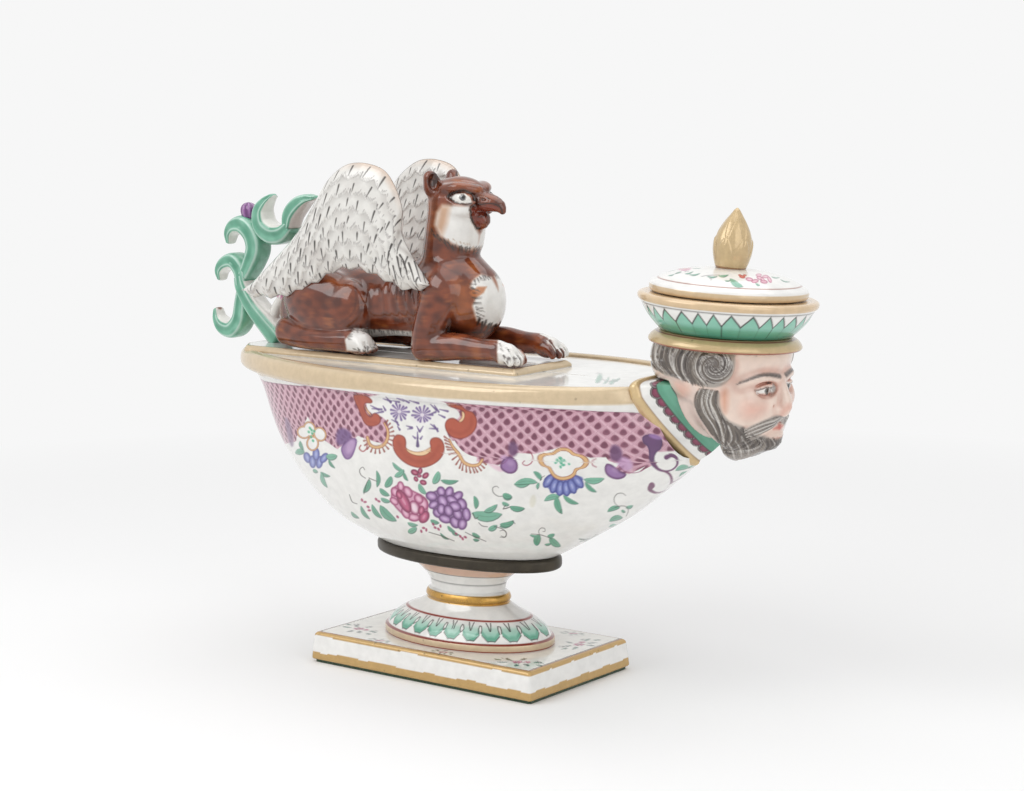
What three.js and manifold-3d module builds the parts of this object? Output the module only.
// Porcelain table lamp in the form of an antique oil lamp: boat-shaped bowl on a waisted oval foot,
// recumbent griffin on the deck, scrolled handle behind it, and a nozzle modelled as a capped head
// whose crown lifts off as the lid. Millimetres, +Z up, +X towards the head, origin in the middle of
// the baize's underside.
import * as THREE from 'three';
import { mergeVertices } from 'three/addons/utils/BufferGeometryUtils.js';
import Module from 'manifold-3d';

const wasm = await Module();
wasm.setup();

// Clearances
const FIT = 0.3;               // between luted or slanted neighbours
const BOLT_CLEARANCE = 0.3;    // round the draw bolt
const FLANGE_CLEARANCE = 1.1;  // round the lid's locating flange
const BEYOND = 400;            // blocks that only cut are longer than the lamp

// Baize and plinth
const BAIZE_THICK = 1.2;
const BAIZE_INSET = 1;
const PLINTH_LENGTH = 104;
const PLINTH_WIDTH = 61.5;
const PLINTH_HEIGHT = 10.4;
const PLINTH_BATTER = 0.9;
const PLINTH_EDGE = 0.8;       // softened arris
const RECESS_WALL = 6;
const RECESS_DEPTH = 5.5;

// Foot: [height above the plinth, half-length, half-width]
const FOOT_PROFILE = [
  [0, 36.4, 22.7], [2.6, 36.4, 22.7], [3, 35, 21.6], [5.6, 33.4, 20.2], [8, 30.6, 17.8],
  [10.2, 26.6, 14.9], [12.2, 21.6, 12.8], [14.4, 16.9, 11.4], [15.6, 17.8, 12.2], [17.2, 17.4, 11.8],
  [18.6, 15.6, 10.6], [22, 16.4, 11], [25.2, 20, 12.2], [28, 24.6, 13.4], [29.4, 25.8, 13.8],
];
const FOOT_WALL = 4;
const FOOT_CROWN = 5;          // thickness of the closed top

// Joint disc between foot and bowl
const DISC_THICK = 5;
const DISC_HALF_LENGTH = 41;
const DISC_HALF_WIDTH = 19.6;
const DISC_ROUND = 2;

// Bowl wall: [height, back, front, half-width, place of the widest section]
const BOWL_WALL_PROFILE = [
  [0, 40, 39.5, 18.6, 0], [1.5, 43.6, 42.6, 20.6, 0.5], [8, 59.6, 54.5, 27.6, 3],
  [19, 74.5, 73.4, 34.4, 7], [31, 85.4, 88.8, 39.4, 11], [38, 90.2, 97, 41.4, 13.5],
  [44.5, 93.6, 101.8, 42.7, 16], [54.6, 98.2, 102.6, 44.2, 18.5], [60, 102.2, 101, 44.8, 19.5],
];
// Rolled rim that follows on the wall, heights from the wall's top
const RIM_PROFILE = [
  [1.2, 107.4, 100.8, 46.8, 20], [2.6, 109.6, 100.8, 47.8, 20], [4.6, 110, 100.6, 48, 20],
  [6.6, 109.6, 100.4, 47.6, 20], [7.9, 108.4, 100.2, 46.4, 20], [8.6, 106.4, 99.8, 44.6, 20],
];
const BOWL_WALL = 4.5;
const BOWL_FLOOR = 5;
const STERN_POINT = 1.14;      // exponent that draws the back end to a soft point
const DECK_THICK = 3;
const DECK_DROP = 1.1;         // deck below the rim's top
const DECK_INSET = 6.5;        // deck's edge from the rim's outline
const LEDGE_WIDTH = 3;         // ledge that the deck rests on

// Plate under the griffin
const PLATE_THICK = 2.5;
const PLATE_FRONT = 36;
const PLATE_BACK = 104;
const PLATE_CORNER = 97;       // where the back corners start
const PLATE_HALF_WIDTH = 17.4;
const PLATE_BACK_HALF_WIDTH = 8;
const PLATE_CHAMFER = 1.4;

// Neck collar: U-shaped ring in a plane that leans back, with its own frame at its lowest point
const COLLAR_LEAN = 18;        // degrees of its normal above the horizontal
const COLLAR_FOOT_X = Math.max(...BOWL_WALL_PROFILE.map(([, , front]) => front)) - 1.1;
const COLLAR_FOOT_ABOVE_BOWL = 40;
const COLLAR_LENGTH = 9;       // along the normal
const COLLAR_LIP = 2.2;        // thickness of the gilt lip at the back
const COLLAR_HALF_WIDTH = 24.5;
const COLLAR_DEPTH = 22;       // from the widest line down
const COLLAR_RISE = 11;        // from the widest line up
const COLLAR_TAPER = 4.8;      // how much the front outline is smaller all round
const CHANNEL_RADIUS = 7;
const CHANNEL_UP = 19;         // channel's axis above the collar's lowest point
const CHANNEL_REACH = 16;      // how far the channel runs into the head, to the well

// Head and cap, on an axis that nods forward
const CAP_NOD = 6.5;           // degrees
const CAP_X = COLLAR_FOOT_X + 10.9;
const CAP_Z_ABOVE_RIM = 15.4;
const WELL_RADIUS = 11;
const WELL_DEPTH = 28;
const BAND_RADIUS = 26;
const BAND_HEIGHT = 4.8;
const CUP_FOOT_RADIUS = 22.4;
const CUP_RIM_RADIUS = 30.5;
const CUP_HEIGHT = 12.4;
const CUP_FLOOR = 2.5;
const CUP_MOUTH_RADIUS = 22.8;
const CUP_FLOOR_RADIUS = 18.5;
const LID_RADIUS = 27;
const LID_EDGE = 4;
const LID_DOME = 4.8;
const LID_WALL = 3.2;
const FLANGE_DEPTH = 5;
const FLANGE_WALL = 2.5;
const FINIAL_SEAT = 6.6;       // radius of the flat on the dome
const FINIAL_RADIUS = 6.8;
const FINIAL_HEIGHT = 20;
const FINIAL_LEAVES = 6;
const WICK_DISC_RADIUS = 16;
const WICK_DISC_THICK = 1.5;
const WICK_TUBE_RADIUS = 5.6;
const WICK_TUBE_BORE = 4.4;
const WICK_TUBE_HEIGHT = 5;
const WICK_TUBE_DROP = 8;

// Draw bolt, washers and nut
const BOLT_RADIUS = 2.5;
const BOLT_HEAD_RADIUS = 6;
const BOLT_HEAD_HEIGHT = 4;
const BOLT_TAIL = 0.7;         // end of the bolt past the nut
const SEAL_RADIUS = 9;
const SEAL_THICK = 2;
const WASHER_RADIUS = 8;
const WASHER_THICK = 1.2;
const NUT_ACROSS_CORNERS = 9.2;
const NUT_HEIGHT = 2.2;

// Stations of height
const PLINTH_Z = BAIZE_THICK;
const FOOT_Z = PLINTH_Z + PLINTH_HEIGHT;
const DISC_Z = FOOT_Z + FOOT_PROFILE.at(-1)[0];
const BOWL_Z = DISC_Z + DISC_THICK;
const WALL_TOP_Z = BOWL_Z + BOWL_WALL_PROFILE.at(-1)[0];
const RIM_Z = WALL_TOP_Z + RIM_PROFILE.at(-1)[0];
const DECK_Z = RIM_Z - DECK_DROP;
const PLATE_Z = DECK_Z + PLATE_THICK;
const RECESS_Z = PLINTH_Z + RECESS_DEPTH;
const FLOOR_Z = BOWL_Z + BOWL_FLOOR;
const CAP_Z = RIM_Z + CAP_Z_ABOVE_RIM;
const COLLAR_FOOT_Z = BOWL_Z + COLLAR_FOOT_ABOVE_BOWL;

// Materials
const finish = (color, roughness, metalness = 0) =>
  new THREE.MeshStandardMaterial({ color, roughness, metalness });
const white = finish(0xece9e4, 0.18);
const gilt = finish(0xcfae74, 0.38, 0.7);
const brown = finish(0x7b3a20, 0.2);
const feather = finish(0xdcd8d2, 0.3);
const green = finish(0x7fb69c, 0.2);
const purple = finish(0x70437a, 0.25);
const skin = finish(0xe3c4b0, 0.25);
const bronze = finish(0x2f2a24, 0.45, 0.6);
const steel = finish(0x9a9a98, 0.4, 0.9);
const brass = finish(0xb08d4a, 0.35, 0.9);
const rubber = finish(0x2a2725, 0.8);
const baize = finish(0x24402f, 0.95);

// Solids from geometries, and back
function solid(geometry) {
  const bare = geometry.index ? geometry.clone() : geometry;
  bare.deleteAttribute('normal');
  bare.deleteAttribute('uv');
  const merged = mergeVertices(bare, 1e-4);
  const index = merged.index.array;
  const kept = [];
  for (let i = 0; i < index.length; i += 3) {
    const [a, b, c] = [index[i], index[i + 1], index[i + 2]];
    if (a !== b && b !== c && c !== a) kept.push(a, b, c);
  }
  return new wasm.Manifold(new wasm.Mesh({
    numProp: 3,
    vertProperties: new Float32Array(merged.attributes.position.array),
    triVerts: new Uint32Array(kept),
  }));
}

function piece(name, body, material) {
  const { vertProperties, triVerts, numProp } = body.getMesh();
  const positions = new Float32Array((vertProperties.length / numProp) * 3);
  for (let v = 0; v < positions.length / 3; v += 1) {
    positions.set(vertProperties.subarray(v * numProp, v * numProp + 3), v * 3);
  }
  const geometry = new THREE.BufferGeometry();
  geometry.setAttribute('position', new THREE.BufferAttribute(positions, 3));
  geometry.setIndex(new THREE.BufferAttribute(new Uint32Array(triVerts), 1));
  geometry.computeVertexNormals();
  const mesh = new THREE.Mesh(geometry, material);
  mesh.name = name;
  return mesh;
}

const sum = (bodies) => bodies.reduce((whole, body) => whole.add(body));

// Loft: rings with the same number of points, each end closed by a fan or drawn to a point.
function loft(rings) {
  const count = rings[0].length;
  const points = rings.flat();
  const faces = [];
  for (let r = 0; r + 1 < rings.length; r += 1) {
    for (let i = 0; i < count; i += 1) {
      const [a, b] = [r * count + i, r * count + ((i + 1) % count)];
      faces.push(a, b, b + count, a, b + count, a + count);
    }
  }
  for (const [ring, flip] of [[0, true], [rings.length - 1, false]]) {
    const centre = rings[ring].reduce((s, p) => s.add(p), new THREE.Vector3()).divideScalar(count);
    points.push(centre);
    for (let i = 0; i < count; i += 1) {
      const [a, b] = [ring * count + i, ring * count + ((i + 1) % count)];
      faces.push(...(flip ? [points.length - 1, b, a] : [points.length - 1, a, b]));
    }
  }
  const geometry = new THREE.BufferGeometry().setFromPoints(points);
  geometry.setIndex(faces);
  let volume = 0;
  for (let f = 0; f < faces.length; f += 3) {
    const [a, b, c] = [points[faces[f]], points[faces[f + 1]], points[faces[f + 2]]];
    volume += a.dot(new THREE.Vector3().crossVectors(b, c));
  }
  if (volume < 0) for (let f = 0; f < faces.length; f += 3) [faces[f + 1], faces[f + 2]] = [faces[f + 2], faces[f + 1]];
  geometry.setIndex(faces);
  return solid(geometry);
}

const around = (count, point) =>
  Array.from({ length: count }, (_, i) => point((i / count) * Math.PI * 2));

const oval = (z, halfLength, halfWidth, count = 20) => around(count,
  (a) => new THREE.Vector3(halfLength * Math.cos(a), halfWidth * Math.sin(a), z));

const block = (length, width, z0, z1) => solid(
  new THREE.BoxGeometry(length, width, z1 - z0).translate(0, 0, (z0 + z1) / 2));

const rod = (radius, z0, z1, sides = 12) => solid(
  new THREE.CylinderGeometry(radius, radius, z1 - z0, sides).rotateX(Math.PI / 2)
    .translate(0, 0, (z0 + z1) / 2));

const turned = (profile, sides = 24) => solid(
  new THREE.LatheGeometry(profile.map(([r, z]) => new THREE.Vector2(r, z)), sides)
    .rotateX(Math.PI / 2));

const ellipsoid = (x, y, z, rx, ry, rz, sides = 12) => solid(
  new THREE.SphereGeometry(1, sides, Math.round(sides * 0.6)).rotateX(Math.PI / 2)
    .scale(rx, ry, rz).translate(x, y, z));

// Limb: a tapering round form along a curve. Each station is [x, y, z, half-width across, half-depth];
// grow makes it larger all round, for cutting a neighbour with a gap.
const END_REACH = 0.84;        // rounding of a limb's ends: how far out, and how much smaller
const END_SCALE = 0.54;
function limb(stations, { grow = 0, sides = 8, steps = 2 } = {}) {
  const path = new THREE.CatmullRomCurve3(stations.map(([x, y, z]) => new THREE.Vector3(x, y, z)));
  const size = new THREE.CatmullRomCurve3(stations.map(([, , , w, d]) => new THREE.Vector3(w, d, 0)));
  const runs = (stations.length - 1) * steps;
  const ring = (t, shift, scale) => {
    const along = path.getTangent(t);
    const across = new THREE.Vector3(0, 1, 0).addScaledVector(along, -along.y).normalize();
    const deep = new THREE.Vector3().crossVectors(along, across);
    const { x: w, y: d } = size.getPoint(t);
    const centre = path.getPoint(t).addScaledVector(along, shift * ((w + d) / 2 + grow));
    return around(sides, (a) => centre.clone()
      .addScaledVector(across, (w + grow) * scale * Math.cos(a))
      .addScaledVector(deep, (d + grow) * scale * Math.sin(a)));
  };
  return loft([
    ring(0, -END_REACH, END_SCALE),
    ...Array.from({ length: runs + 1 }, (_, i) => ring(i / runs, 0, 1)),
    ring(1, END_REACH, END_SCALE),
  ]);
}

// Horizontal section of the bowl: an ellipse to the front, drawn to a soft point at the back.
function boatRing([z, back, front, half, widest], inset = 0, count = 28) {
  return around(count, (a) => {
    const [c, s] = [Math.cos(a), Math.sin(a)];
    const soften = 1 + (STERN_POINT - 1) * Math.min(1, Math.max(0, (z - BOWL_Z) / (RIM_Z - BOWL_Z)));
    const reach = c > 0 ? front - inset - widest : back - inset + widest;
    const power = c > 0 ? 1 : soften;
    return new THREE.Vector3(widest + Math.sign(c) * reach * Math.abs(c) ** power,
      (half - inset) * Math.sign(s) * Math.abs(s) ** power, z);
  });
}

const atHeight = (profile, base) => profile.map(([z, ...rest]) => [base + z, ...rest]);
const bowlWallStations = atHeight(BOWL_WALL_PROFILE, BOWL_Z);
const rimStations = atHeight(RIM_PROFILE, WALL_TOP_Z);
const rimOutline = rimStations.reduce((a, b) => (b[1] > a[1] ? b : a)).slice(1);

// Frames of the collar and the cap
const collarFrame = new THREE.Group();
collarFrame.position.set(COLLAR_FOOT_X, 0, COLLAR_FOOT_Z);
collarFrame.rotation.y = THREE.MathUtils.degToRad(90 - COLLAR_LEAN);
const capFrame = new THREE.Group();
capFrame.position.set(CAP_X, 0, CAP_Z);
capFrame.rotation.y = THREE.MathUtils.degToRad(CAP_NOD);
for (const frame of [collarFrame, capFrame]) frame.updateMatrix();
const fromFrame = (frame, body) => body.transform([...frame.matrix.elements]);

// Collar frame: -X runs up inside the plane, +Z along the normal towards the head.
function collarRing(along, shrink) {
  return around(26, (a) => {
    const [c, s] = [Math.cos(a), Math.sin(a)];
    const boxy = c > 0 ? 0.75 : 1;
    const height = COLLAR_DEPTH + (c > 0 ? (COLLAR_RISE - shrink) : (COLLAR_DEPTH - shrink))
      * Math.sign(c) * Math.abs(c) ** boxy;
    const side = (COLLAR_HALF_WIDTH - shrink) * Math.sign(s) * Math.abs(s) ** boxy;
    return new THREE.Vector3(-height, side, along);
  });
}
const collarSolid = (grow = 0) => loft([
  collarRing(FIT - grow, 0.8 - grow), collarRing(FIT + 0.7, -grow), collarRing(COLLAR_LIP, -grow),
  collarRing(COLLAR_LIP + 0.6, 1.2 - grow), collarRing(COLLAR_LENGTH * 0.6, COLLAR_TAPER * 0.5 - grow),
  collarRing(COLLAR_LENGTH + grow, COLLAR_TAPER - grow),
]);
const channel = (start, end) => rod(CHANNEL_RADIUS, start, end).translate([-CHANNEL_UP, 0, 0]);

// Baize, plinth and foot
function plinthRing(z, inset) {
  const [l, w] = [PLINTH_LENGTH / 2 - inset, PLINTH_WIDTH / 2 - inset];
  const corner = Math.min(PLINTH_EDGE, w / 2);
  return [[1, 1], [-1, 1], [-1, -1], [1, -1]].flatMap(([sx, sy]) => {
    const ends = [[l, w - corner], [l - corner, w]];
    if (sx * sy < 0) ends.reverse();
    return ends.map(([x, y]) => new THREE.Vector3(sx * x, sy * y, z));
  });
}
const boltHole = (z0, z1) => rod(BOLT_RADIUS + BOLT_CLEARANCE, z0, z1);
const baizePad = loft([plinthRing(0, BAIZE_INSET), plinthRing(BAIZE_THICK, BAIZE_INSET)]);
const plinth = loft([
  plinthRing(PLINTH_Z, 0), plinthRing(FOOT_Z - PLINTH_EDGE, PLINTH_BATTER),
  plinthRing(FOOT_Z, PLINTH_BATTER + PLINTH_EDGE),
]).subtract(loft([
  plinthRing(PLINTH_Z - 1, RECESS_WALL), plinthRing(RECESS_Z, RECESS_WALL + 1),
])).subtract(boltHole(RECESS_Z - 1, FOOT_Z + 1));

const footTop = DISC_Z - FOOT_CROWN;
const footHollow = FOOT_PROFILE.filter(([z], i) => FOOT_Z + z < footTop && i % 2 === 0);
const foot = loft(FOOT_PROFILE.map(([z, a, b]) => oval(FOOT_Z + z, a, b)))
  .subtract(loft([
    oval(FOOT_Z - 1, footHollow[0][1] - FOOT_WALL, footHollow[0][2] - FOOT_WALL, 12),
    ...footHollow.map(([z, a, b]) => oval(FOOT_Z + z, a - FOOT_WALL, b - FOOT_WALL, 12)),
    oval(footTop, footHollow.at(-1)[1] - FOOT_WALL, footHollow.at(-1)[2] - FOOT_WALL, 12),
  ])).subtract(boltHole(footTop - 1, DISC_Z + 1));

const discRing = (up, inset) => oval(DISC_Z + up, DISC_HALF_LENGTH - inset, DISC_HALF_WIDTH - inset, 28);
const jointDisc = loft([
  discRing(0, DISC_ROUND), discRing(DISC_ROUND * 0.6, 0), discRing(DISC_THICK - DISC_ROUND * 0.6, 0),
  discRing(DISC_THICK, DISC_ROUND),
]).subtract(boltHole(DISC_Z - 1, BOWL_Z + 1));

// Bowl: wall and rim, hollowed to the floor, a ledge for the deck, its front cut by the collar's plane.
const beyondCollar = (back) => fromFrame(collarFrame,
  block(BEYOND, BEYOND, -back, BEYOND));
const bowlOuter = loft([...bowlWallStations, ...rimStations].map((s) => boatRing(s)));
const insideStations = [
  [FLOOR_Z, ...bowlWallStations.findLast(([z]) => z <= FLOOR_Z).slice(1)],
  ...bowlWallStations.filter(([z]) => z > FLOOR_Z + 1),
];
const ledgeZ = DECK_Z - DECK_THICK;
const hollow = loft([
  ...insideStations.map((s) => boatRing(s, BOWL_WALL, 18)),
  boatRing([ledgeZ - 1, ...rimOutline], DECK_INSET + LEDGE_WIDTH, 18),
  boatRing([RIM_Z + 1, ...rimOutline], DECK_INSET + LEDGE_WIDTH, 18),
]).subtract(beyondCollar(BOWL_WALL));
const deckSeat = loft([
  boatRing([ledgeZ, ...rimOutline], DECK_INSET), boatRing([RIM_Z + 1, ...rimOutline], DECK_INSET),
]);
const bowl = bowlOuter.subtract(beyondCollar(0)).subtract(hollow)
  .subtract(deckSeat.subtract(beyondCollar(BOWL_WALL)))
  .subtract(fromFrame(collarFrame, channel(-BOWL_WALL - 4, 1)))
  .subtract(boltHole(BOWL_Z - 1, FLOOR_Z + 1));

const deck = loft([
  boatRing([ledgeZ, ...rimOutline], DECK_INSET + FIT), boatRing([DECK_Z, ...rimOutline], DECK_INSET + FIT),
]).subtract(beyondCollar(BOWL_WALL + FIT));

function plateRing(z, inset, grow = 0) {
  const [f, b, c] = [PLATE_FRONT - inset + grow, PLATE_BACK - inset + grow, PLATE_CORNER];
  const [w, v] = [PLATE_HALF_WIDTH - inset + grow, PLATE_BACK_HALF_WIDTH];
  return [[f, -w], [f, w], [-c, w - 0.8], [-b, v], [-b, -v], [-c, 0.8 - w]]
    .map(([x, y]) => new THREE.Vector3(x, y, z));
}
const griffinPlate = loft([
  plateRing(DECK_Z, 0), plateRing(PLATE_Z - PLATE_CHAMFER, 0), plateRing(PLATE_Z, PLATE_CHAMFER),
]).subtract(bowlOuter.subtract(loft([
  boatRing([DECK_Z - 1, ...rimOutline], DECK_INSET + FIT),
  boatRing([RIM_Z + 1, ...rimOutline], DECK_INSET + FIT),
])).translate([0, 0, FIT]));

// Griffin: heights are above its plate, and it rests on it with its feet, belly and elbows.
const G = PLATE_Z;
const GROUND_GAP = 0.05;
const onPlate = (body) => body.subtract(block(BEYOND, BEYOND, G - BEYOND, G + GROUND_GAP));
const bodyForm = (grow = 0) => sum([
  limb([[-80, 0, G + 13, 9, 11], [-68, 0, G + 16, 13, 15], [-50, 0, G + 18, 12.6, 14],
    [-34, 0, G + 19, 11.5, 13], [-18, 0, G + 22, 13, 16], [-4, 0, G + 24, 13.6, 17],
    [2, 0, G + 23, 12, 13]], { grow, sides: 14 }),
  ellipsoid(0, 0, G + 20, 14 + grow, 11.5 + grow, 14 + grow),
]);
const headForm = (grow = 0) => sum([
  limb([[-5, 0, G + 28, 13, 13], [-7.5, 0, G + 38, 11, 11], [-7, 0, G + 48, 9.8, 10.2],
    [-4, 0, G + 56, 10, 10.5]], { grow, sides: 12, steps: 1 }),
  ellipsoid(-1.5, 0, G + 58.5, 13 + grow, 9.6 + grow, 9 + grow),
  ellipsoid(1, 0, G + 49.5, 8.5 + grow, 9 + grow, 9.5 + grow, 10),
  limb([[5, 0, G + 58, 5.5, 6], [11, 0, G + 57.6, 4.2, 3.6], [16.5, 0, G + 57.4, 3, 2.8],
    [19, 0, G + 54.6, 1.8, 1.8]], { grow, sides: 8 }),
  limb([[4, 0, G + 52.6, 4.4, 3.4], [9.6, 0, G + 51.6, 2.6, 1.8]], { grow, sides: 6, steps: 1 }),
  ...[-1, 1].flatMap((side) => [
    limb([[-2, side * 6.8, G + 62.4, 2, 1.6], [4, side * 6.6, G + 63, 2.2, 1.8], [10, side * 2.6, G + 61.8, 1.6, 1.6]],
      { grow, steps: 1, sides: 6 }),
    ellipsoid(4.9, side * 6.8, G + 59, 3.2 + grow, 2.6 + grow, 2 + grow, 8),
    limb([[-9, side * 5.4, G + 63, 3.2, 3], [-10.5, side * 6.6, G + 67.4, 2.2, 1.4]],
      { grow, steps: 1, sides: 6 }),
  ]),
]);
const toes = (x, y, z, reach, grow) => [-1, 0, 1].map((k) => limb([
  [x, y + k * 2.6, z, 2 + grow, 2.2 + grow], [x + reach, y + k * 3.1, z - 1.2, 1.5 + grow, 1.5 + grow],
], { steps: 1, sides: 4 }));
const forelegForm = (side, grow = 0) => sum([
  limb([[-1, side * 11.5, G + 27, 6, 8.5], [-3, side * 13, G + 17, 5.8, 7.8],
    [-4, side * 13.6, G + 7.5, 5.2, 6.6]], { grow }),
  limb([[-5, side * 13.4, G + 5.6, 5, 5.4], [6, side * 13.2, G + 6.4, 4.8, 5.2],
    [20, side * 12.8, G + 5.6, 4.2, 4.4], [26, side * 12.6, G + 4.4, 4.6, 4.4]], { grow, steps: 1 }),
  ...toes(27, side * 12.6, G + 3.4, 5, grow),
]);
const hindlegForm = (side, grow = 0) => sum([
  ellipsoid(-63, side * 9.6, G + 15.5, 23 + grow, 8.6 + grow, 16 + grow),
  limb([[-80, side * 12.6, G + 6, 4.6, 5.6], [-66, side * 14, G + 5, 4.4, 4.8],
    [-50, side * 14.6, G + 4.6, 4, 4.2], [-41, side * 14.6, G + 4.6, 4.6, 4.4]], { grow, steps: 1 }),
  ...toes(-40, side * 14.6, G + 3.4, 5, grow),
]);

// Wing: lens-shaped sections between a lower and an upper edge, both running from the shoulder to the
// tip. Its flight feathers make shallow ribs that end in points past the lower edge.
const WING_LOWER = [[-3, 28], [-13, 26.4], [-24, 29.6], [-36, 33], [-48, 32], [-60, 26.4], [-76, 21], [-92, 20.6]];
const WING_UPPER = [[-4.6, 30.4], [-10, 38], [-14.4, 47], [-13.6, 57], [-20, 68.4], [-28, 71.4], [-38, 71],
  [-47.4, 65.4], [-54, 57.6], [-63, 46.6], [-77, 35], [-94.5, 22.2]];
const WING_HALF_THICK = 3;
const WING_ROOT_OUT = 16.5;    // distance of the lower edge from the middle plane
const WING_TOP_OUT = 20.5;
const FEATHERS = 11;
const FEATHER_POINT = 1.6;     // reach of a feather's point past the lower edge
const FEATHER_RIB = 0.14;      // extra thickness along a feather, as a share
function wingForm(side) {
  const curve = (edge) => new THREE.CatmullRomCurve3(edge.map(([x, z]) => new THREE.Vector3(x, 0, G + z)));
  const [lower, upper] = [curve(WING_LOWER), curve(WING_UPPER)];
  const outward = (share, s) => WING_ROOT_OUT + (WING_TOP_OUT - WING_ROOT_OUT) * share * Math.sin(Math.PI * s)
    + 2 * Math.sin(Math.PI * share);
  const section = (s, i) => around(10, (a) => {
    const [share, rib] = [0.5 - 0.5 * Math.cos(a), i % 2];
    const [low, high] = [lower.getPoint(s), upper.getPoint(s)];
    const drop = new THREE.Vector3().subVectors(low, high).normalize();
    const at = low.addScaledVector(drop, FEATHER_POINT * rib).lerp(high, share);
    const thick = WING_HALF_THICK * (1 + FEATHER_RIB * rib) * Math.sin(Math.PI * (0.12 + 0.8 * s)) ** 0.5;
    at.y = side * (outward(share, s) + thick * Math.sin(a));
    return at;
  });
  return loft(Array.from({ length: FEATHERS * 2 + 1 }, (_, i) => section(i / (FEATHERS * 2), i)));
}

const griffinBody = onPlate(bodyForm());
const griffinHead = headForm().subtract(bodyForm(FIT));
const forelegs = [1, -1].map((side) => onPlate(forelegForm(side))
  .subtract(bodyForm(FIT)).subtract(headForm(FIT)));
const hindlegs = [1, -1].map((side) => onPlate(hindlegForm(side)).subtract(bodyForm(FIT)));
const wings = [1, -1].map((side) => wingForm(side)
  .subtract(bodyForm(FIT)).subtract(headForm(FIT))
  .subtract(forelegForm(side, FIT)).subtract(hindlegForm(side, FIT)));

// Handle: scrolls in the middle plane. Stations are [x, height above the plate, half-depth].
const HANDLE_HALF_WIDTH = 5;
const scroll = (stations, grow = 0) => limb(
  stations.map(([x, z, d, w = HANDLE_HALF_WIDTH]) => [x, 0, G + z, w, d]), { grow });
const STEM = [[-93, 2.6, 5, 5.6], [-99.5, 8, 4.4], [-106.4, 14, 3.8], [-110.6, 20.6, 3.6]];
const LOWER_SCROLL = [[-125.8, 9.6, 1.8, 3], [-123.2, 4.8, 3, 4.6], [-117.4, 3.4, 3.6], [-112.8, 8, 3.4],
  [-112.6, 14.6, 3, 4.4]];
const MIDDLE_SCROLL = [[-123, 25, 1.6, 3], [-121, 29.6, 2.6, 4.4], [-115.6, 31, 3.2], [-111.4, 27.4, 3.4],
  [-110.8, 21.4, 3.2]];
const UPPER_SCROLL = [[-118, 40.6, 1.6, 3], [-115.4, 44.4, 2.8, 4.4], [-110, 45.4, 3.8], [-105.4, 42, 4],
  [-104, 36.6, 4], [-106.6, 30.6, 3.4], [-110, 26.4, 2.8]];
const CREST_SCROLL = [[-96, 55.4, 1.8, 3], [-100.2, 51.4, 3, 4.6], [-99.8, 45.8, 3.8], [-95, 42.4, 4],
  [-89, 42.8, 3.6], [-85.2, 45.4, 2.8]];
const INNER_SCROLL = [[-74.8, 56, 2, 3], [-80.4, 54.2, 3, 4.4], [-84.4, 50.4, 3.2], [-85.4, 47, 2.4]];
const handleStem = onPlate(scroll(STEM))
  .subtract(bodyForm(FIT)).subtract(hindlegForm(1, FIT)).subtract(hindlegForm(-1, FIT));
const lowerScroll = scroll(LOWER_SCROLL).subtract(scroll(STEM, FIT));
const middleScroll = scroll(MIDDLE_SCROLL).subtract(scroll(STEM, FIT)).subtract(scroll(LOWER_SCROLL, FIT));
const upperScroll = scroll(UPPER_SCROLL).subtract(scroll(MIDDLE_SCROLL, FIT)).subtract(scroll(STEM, FIT));
const crestScroll = scroll(CREST_SCROLL).subtract(scroll(UPPER_SCROLL, FIT));
const innerScroll = scroll(INNER_SCROLL).subtract(scroll(CREST_SCROLL, FIT));
const BUD = [[-108, 48, 2.6, 3], [-108, 51.6, 2.4, 2.6], [-107.8, 54, 1, 1.2]];
const bud = scroll(BUD).subtract(scroll(UPPER_SCROLL, FIT)).subtract(scroll(CREST_SCROLL, FIT));

// Rosette: a cupped flower on a short stalk that springs from the stem
const ROSETTE_X = -88;
const ROSETTE_UP = 22.6;
const ROSETTE_RADIUS = 7.2;
const ROSETTE_HALF_THICK = 2.6;
const ROSETTE_PETALS = 8;
const petalRing = (y, share) => around(ROSETTE_PETALS * 3, (a) => {
  const radius = ROSETTE_RADIUS * share * (0.92 + 0.08 * Math.cos(ROSETTE_PETALS * a));
  return new THREE.Vector3(ROSETTE_X + radius * Math.cos(a), y, G + ROSETTE_UP + radius * Math.sin(a));
});
const rosette = sum([
  loft([[-1, 0.6], [-0.5, 1], [0.5, 1], [1, 0.6]]
    .map(([out, share]) => petalRing(out * ROSETTE_HALF_THICK, share))),
  limb([[-97, 0, G + 9, 2.4, 2.4], [-94.5, 0, G + 15, 2.2, 2.2], [ROSETTE_X - 2, 0, G + ROSETTE_UP - 4, 2, 2]],
    { sides: 6 }),
]).subtract(scroll(STEM, FIT)).subtract(bodyForm(FIT))
  .subtract(hindlegForm(1, FIT)).subtract(hindlegForm(-1, FIT));

// Collar and head
const neckCollar = collarSolid().subtract(channel(-1, COLLAR_LENGTH + 1));
const S = CAP_Z;               // heights of the head are below the cap's frame
const CURL_TURNS = 1.5;
const CURL_RADIUS = 7.2;
function curlRidge(side) {
  const stations = Array.from({ length: 9 }, (_, i) => {
    const t = i / 8;
    const a = Math.PI * 2 * CURL_TURNS * t;
    const r = CURL_RADIUS * (1 - 0.78 * t);
    return [CAP_X + 1 + r * Math.cos(a), side * (21.6 + 2.2 * t), S - 13 + r * Math.sin(a), 2, 1.7];
  });
  return limb(stations, { steps: 1, sides: 5 });
}
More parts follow.
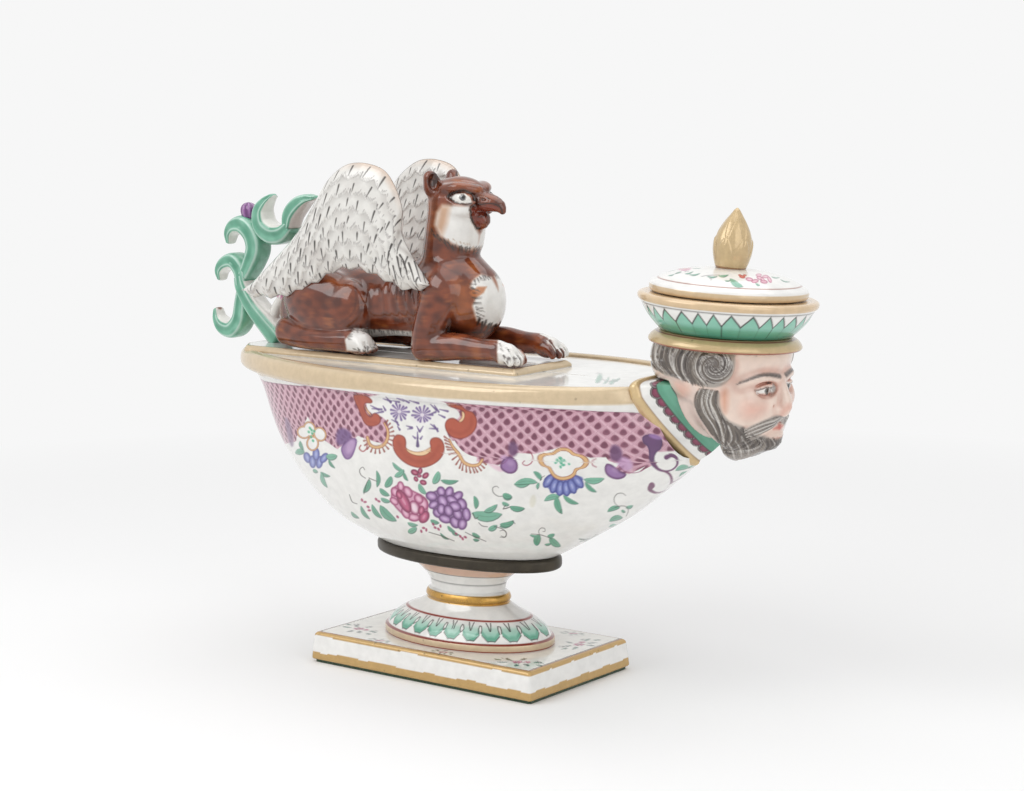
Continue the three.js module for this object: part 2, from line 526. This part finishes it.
// Head: neck, skull, face, beard, nose and lips, then brows, moustache, eyes, hair and cheek beard
const headForms = sum([
  limb([[CAP_X - 8, 0, S - 21, 17, 15], [CAP_X, 0, S - 17, 20, 17]], { steps: 1, sides: 14 }),
  ellipsoid(CAP_X - 1, 0, S - 5, 24.8, 24, 17.5, 16),
  ellipsoid(CAP_X + 8.5, 0, S - 17, 14.5, 17, 19),
  limb([[CAP_X + 11, 0, S - 27, 11, 8.5], [CAP_X + 6.5, 0, S - 33, 7.5, 6], [CAP_X + 2.4, 0, S - 38, 2.6, 2.4]],
    { sides: 8, steps: 1 }),
  limb([[CAP_X + 20.4, 0, S - 11.5, 2.2, 2.6], [CAP_X + 23.6, 0, S - 18.5, 2.8, 2.8],
    [CAP_X + 24, 0, S - 21.4, 3.4, 2.2]], { steps: 1, sides: 6 }),
  limb([[CAP_X + 19.6, 0, S - 27.2, 4.4, 2.4], [CAP_X + 18.6, 0, S - 29.8, 3.4, 2]], { steps: 1, sides: 6 }),
  ...[-1, 1].flatMap((side) => [
    limb([[CAP_X + 21.6, side * 2, S - 8.6, 2.2, 1.8], [CAP_X + 19, side * 9.6, S - 8.8, 2, 1.8],
      [CAP_X + 14.6, side * 14, S - 11, 1.6, 1.6]], { steps: 1, sides: 6 }),
    limb([[CAP_X + 22, side * 2.4, S - 24.4, 2.6, 2], [CAP_X + 18, side * 9, S - 26.4, 2.6, 2.2],
      [CAP_X + 13.6, side * 13.6, S - 29.4, 1.6, 1.6]], { steps: 1, sides: 6 }),
    ellipsoid(CAP_X + 18.6, side * 6.4, S - 13, 3.4, 3.4, 2.2, 8),
    ellipsoid(CAP_X - 1, side * 15.6, S - 12, 11.5, 8.4, 10.5, 10),
    curlRidge(side),
    limb([[CAP_X + 3, side * 16.6, S - 20, 3.6, 4.4], [CAP_X + 9, side * 10.6, S - 30, 3.4, 4]],
      { steps: 1, sides: 6 }),
  ]),
]);
const bandBottom = -BAND_HEIGHT / 2;
const bandTop = BAND_HEIGHT / 2;
const head = headForms
  .subtract(fromFrame(capFrame, block(BEYOND, BEYOND, bandBottom - FIT, BEYOND)))
  .subtract(fromFrame(capFrame, rod(WELL_RADIUS, -WELL_DEPTH, 0, 20)))
  .subtract(fromFrame(collarFrame, channel(COLLAR_LENGTH - 2, COLLAR_LENGTH + CHANNEL_REACH)))
  .subtract(fromFrame(collarFrame, collarSolid(FIT)))
  .subtract(bowlOuter.translate([0, 0, FIT])).subtract(bowlOuter);

// Cap, wick holder and lid, in the cap's frame
const hatBand = turned([
  [WELL_RADIUS, bandBottom], [BAND_RADIUS - 1.6, bandBottom], [BAND_RADIUS - 0.3, bandBottom + 1],
  [BAND_RADIUS, 0], [BAND_RADIUS - 0.5, bandTop - 1], [BAND_RADIUS - 2, bandTop], [WELL_RADIUS, bandTop],
  [WELL_RADIUS, bandBottom],
]);
const cupZ = bandTop + FIT;
const cupTop = cupZ + CUP_HEIGHT;
const cupFloorZ = cupZ + CUP_FLOOR;
const nozzleCup = turned([
  [WELL_RADIUS, cupZ], [CUP_FOOT_RADIUS, cupZ], [CUP_FOOT_RADIUS + 1.8, cupZ + CUP_HEIGHT * 0.14],
  [CUP_FOOT_RADIUS + 4.8, cupZ + CUP_HEIGHT * 0.42], [CUP_RIM_RADIUS - 1, cupZ + CUP_HEIGHT * 0.75],
  [CUP_RIM_RADIUS, cupZ + CUP_HEIGHT * 0.87], [CUP_RIM_RADIUS - 0.3, cupZ + CUP_HEIGHT * 0.95],
  [CUP_RIM_RADIUS - 1.2, cupTop], [CUP_MOUTH_RADIUS, cupTop],
  [CUP_MOUTH_RADIUS, cupTop - FLANGE_DEPTH - 1], [CUP_FLOOR_RADIUS, cupFloorZ], [WELL_RADIUS, cupFloorZ],
  [WELL_RADIUS, cupZ],
]);
const wickZ = cupFloorZ + FIT;
const wickHolder = turned([
  [WICK_TUBE_BORE, wickZ - WICK_TUBE_DROP], [WICK_TUBE_RADIUS, wickZ - WICK_TUBE_DROP],
  [WICK_TUBE_RADIUS, wickZ], [WICK_DISC_RADIUS, wickZ], [WICK_DISC_RADIUS, wickZ + WICK_DISC_THICK],
  [WICK_TUBE_RADIUS, wickZ + WICK_DISC_THICK], [WICK_TUBE_RADIUS, wickZ + WICK_DISC_THICK + WICK_TUBE_HEIGHT],
  [WICK_TUBE_BORE, wickZ + WICK_DISC_THICK + WICK_TUBE_HEIGHT], [WICK_TUBE_BORE, wickZ - WICK_TUBE_DROP],
], 16);
const lidZ = cupTop + FIT;
const domeZ = lidZ + LID_EDGE;
const domeTop = domeZ + LID_DOME;
const flangeRadius = CUP_MOUTH_RADIUS - FLANGE_CLEARANCE;
const lidCover = turned([
  [0, domeTop - LID_WALL], [flangeRadius * 0.5, domeTop - LID_WALL - 0.8],
  [flangeRadius - FLANGE_WALL, domeZ - LID_WALL + 1.6], [flangeRadius - FLANGE_WALL, lidZ - FLANGE_DEPTH],
  [flangeRadius, lidZ - FLANGE_DEPTH], [flangeRadius, lidZ], [LID_RADIUS - 0.4, lidZ],
  [LID_RADIUS, lidZ + LID_EDGE * 0.4], [LID_RADIUS - 0.6, domeZ - 0.6], [LID_RADIUS - 2, domeZ],
  [LID_RADIUS * 0.78, domeZ + LID_DOME * 0.42], [LID_RADIUS * 0.52, domeZ + LID_DOME * 0.82],
  [FINIAL_SEAT, domeTop], [0, domeTop],
]);
const finialZ = domeTop + FIT;
const FINIAL_PROFILE = [[0, 0.78], [0.05, 0.82], [0.25, 0.97], [0.4, 1], [0.58, 0.88], [0.75, 0.62],
  [0.9, 0.3], [1, 0.08]];
const lidFinial = loft(FINIAL_PROFILE.map(([h, r]) => around(FINIAL_LEAVES * 3, (a) => {
  const leaf = 1 + 0.07 * Math.sin(Math.PI * Math.min(1, h * 1.2)) * Math.cos(FINIAL_LEAVES * a + h * 6);
  const radius = FINIAL_RADIUS * r * leaf;
  return new THREE.Vector3(radius * Math.cos(a), radius * Math.sin(a), finialZ + h * FINIAL_HEIGHT);
})));

// Draw bolt and its fittings
const washerZ = RECESS_Z - WASHER_THICK;
const nutZ = washerZ - NUT_HEIGHT;
const boltTop = FLOOR_Z + SEAL_THICK;
const tieBolt = sum([
  rod(BOLT_RADIUS, nutZ - BOLT_TAIL, boltTop + 1),
  turned([[0, boltTop], [BOLT_HEAD_RADIUS, boltTop], [BOLT_HEAD_RADIUS, boltTop + BOLT_HEAD_HEIGHT * 0.5],
    [BOLT_HEAD_RADIUS * 0.7, boltTop + BOLT_HEAD_HEIGHT * 0.9], [0, boltTop + BOLT_HEAD_HEIGHT]], 16),
]);
const washer = (radius, z, thick) => rod(radius, z, z + thick, 20).subtract(boltHole(z - 1, z + thick + 1));

const lamp = new THREE.Group();
lamp.name = 'lamp';
lamp.add(
  piece('baize_pad', baizePad, baize),
  piece('plinth', plinth, white),
  piece('foot', foot, white),
  piece('joint_disc', jointDisc, bronze),
  piece('tie_bolt', tieBolt, steel),
  piece('sealing_washer', washer(SEAL_RADIUS, FLOOR_Z, SEAL_THICK), rubber),
  piece('tie_washer', washer(WASHER_RADIUS, washerZ, WASHER_THICK), steel),
  piece('tie_nut', rod(NUT_ACROSS_CORNERS / 2, nutZ, washerZ, 6).subtract(boltHole(nutZ - 1, washerZ + 1)), steel),
  piece('bowl', bowl, white),
  piece('deck', deck, white),
  piece('griffin_plate', griffinPlate, gilt),
  piece('griffin_body', griffinBody, brown),
  piece('griffin_head', griffinHead, brown),
  piece('griffin_foreleg_left', forelegs[0], brown),
  piece('griffin_foreleg_right', forelegs[1], brown),
  piece('griffin_hindleg_left', hindlegs[0], brown),
  piece('griffin_hindleg_right', hindlegs[1], brown),
  piece('griffin_wing_left', wings[0], feather),
  piece('griffin_wing_right', wings[1], feather),
  piece('handle_stem', handleStem, green),
  piece('handle_lower_scroll', lowerScroll, green),
  piece('handle_middle_scroll', middleScroll, green),
  piece('handle_upper_scroll', upperScroll, green),
  piece('handle_crest_scroll', crestScroll, green),
  piece('handle_inner_scroll', innerScroll, green),
  piece('handle_bud', bud, purple),
  piece('handle_rosette', rosette, white),
  piece('head', head, skin),
);
collarFrame.add(piece('neck_collar', neckCollar, white));
capFrame.add(
  piece('hat_band', hatBand, gilt),
  piece('nozzle_cup', nozzleCup, white),
  piece('wick_holder', wickHolder, brass),
  piece('lid_cover', lidCover, white),
  piece('lid_finial', lidFinial, gilt),
);
lamp.add(collarFrame, capFrame);

export default lamp;
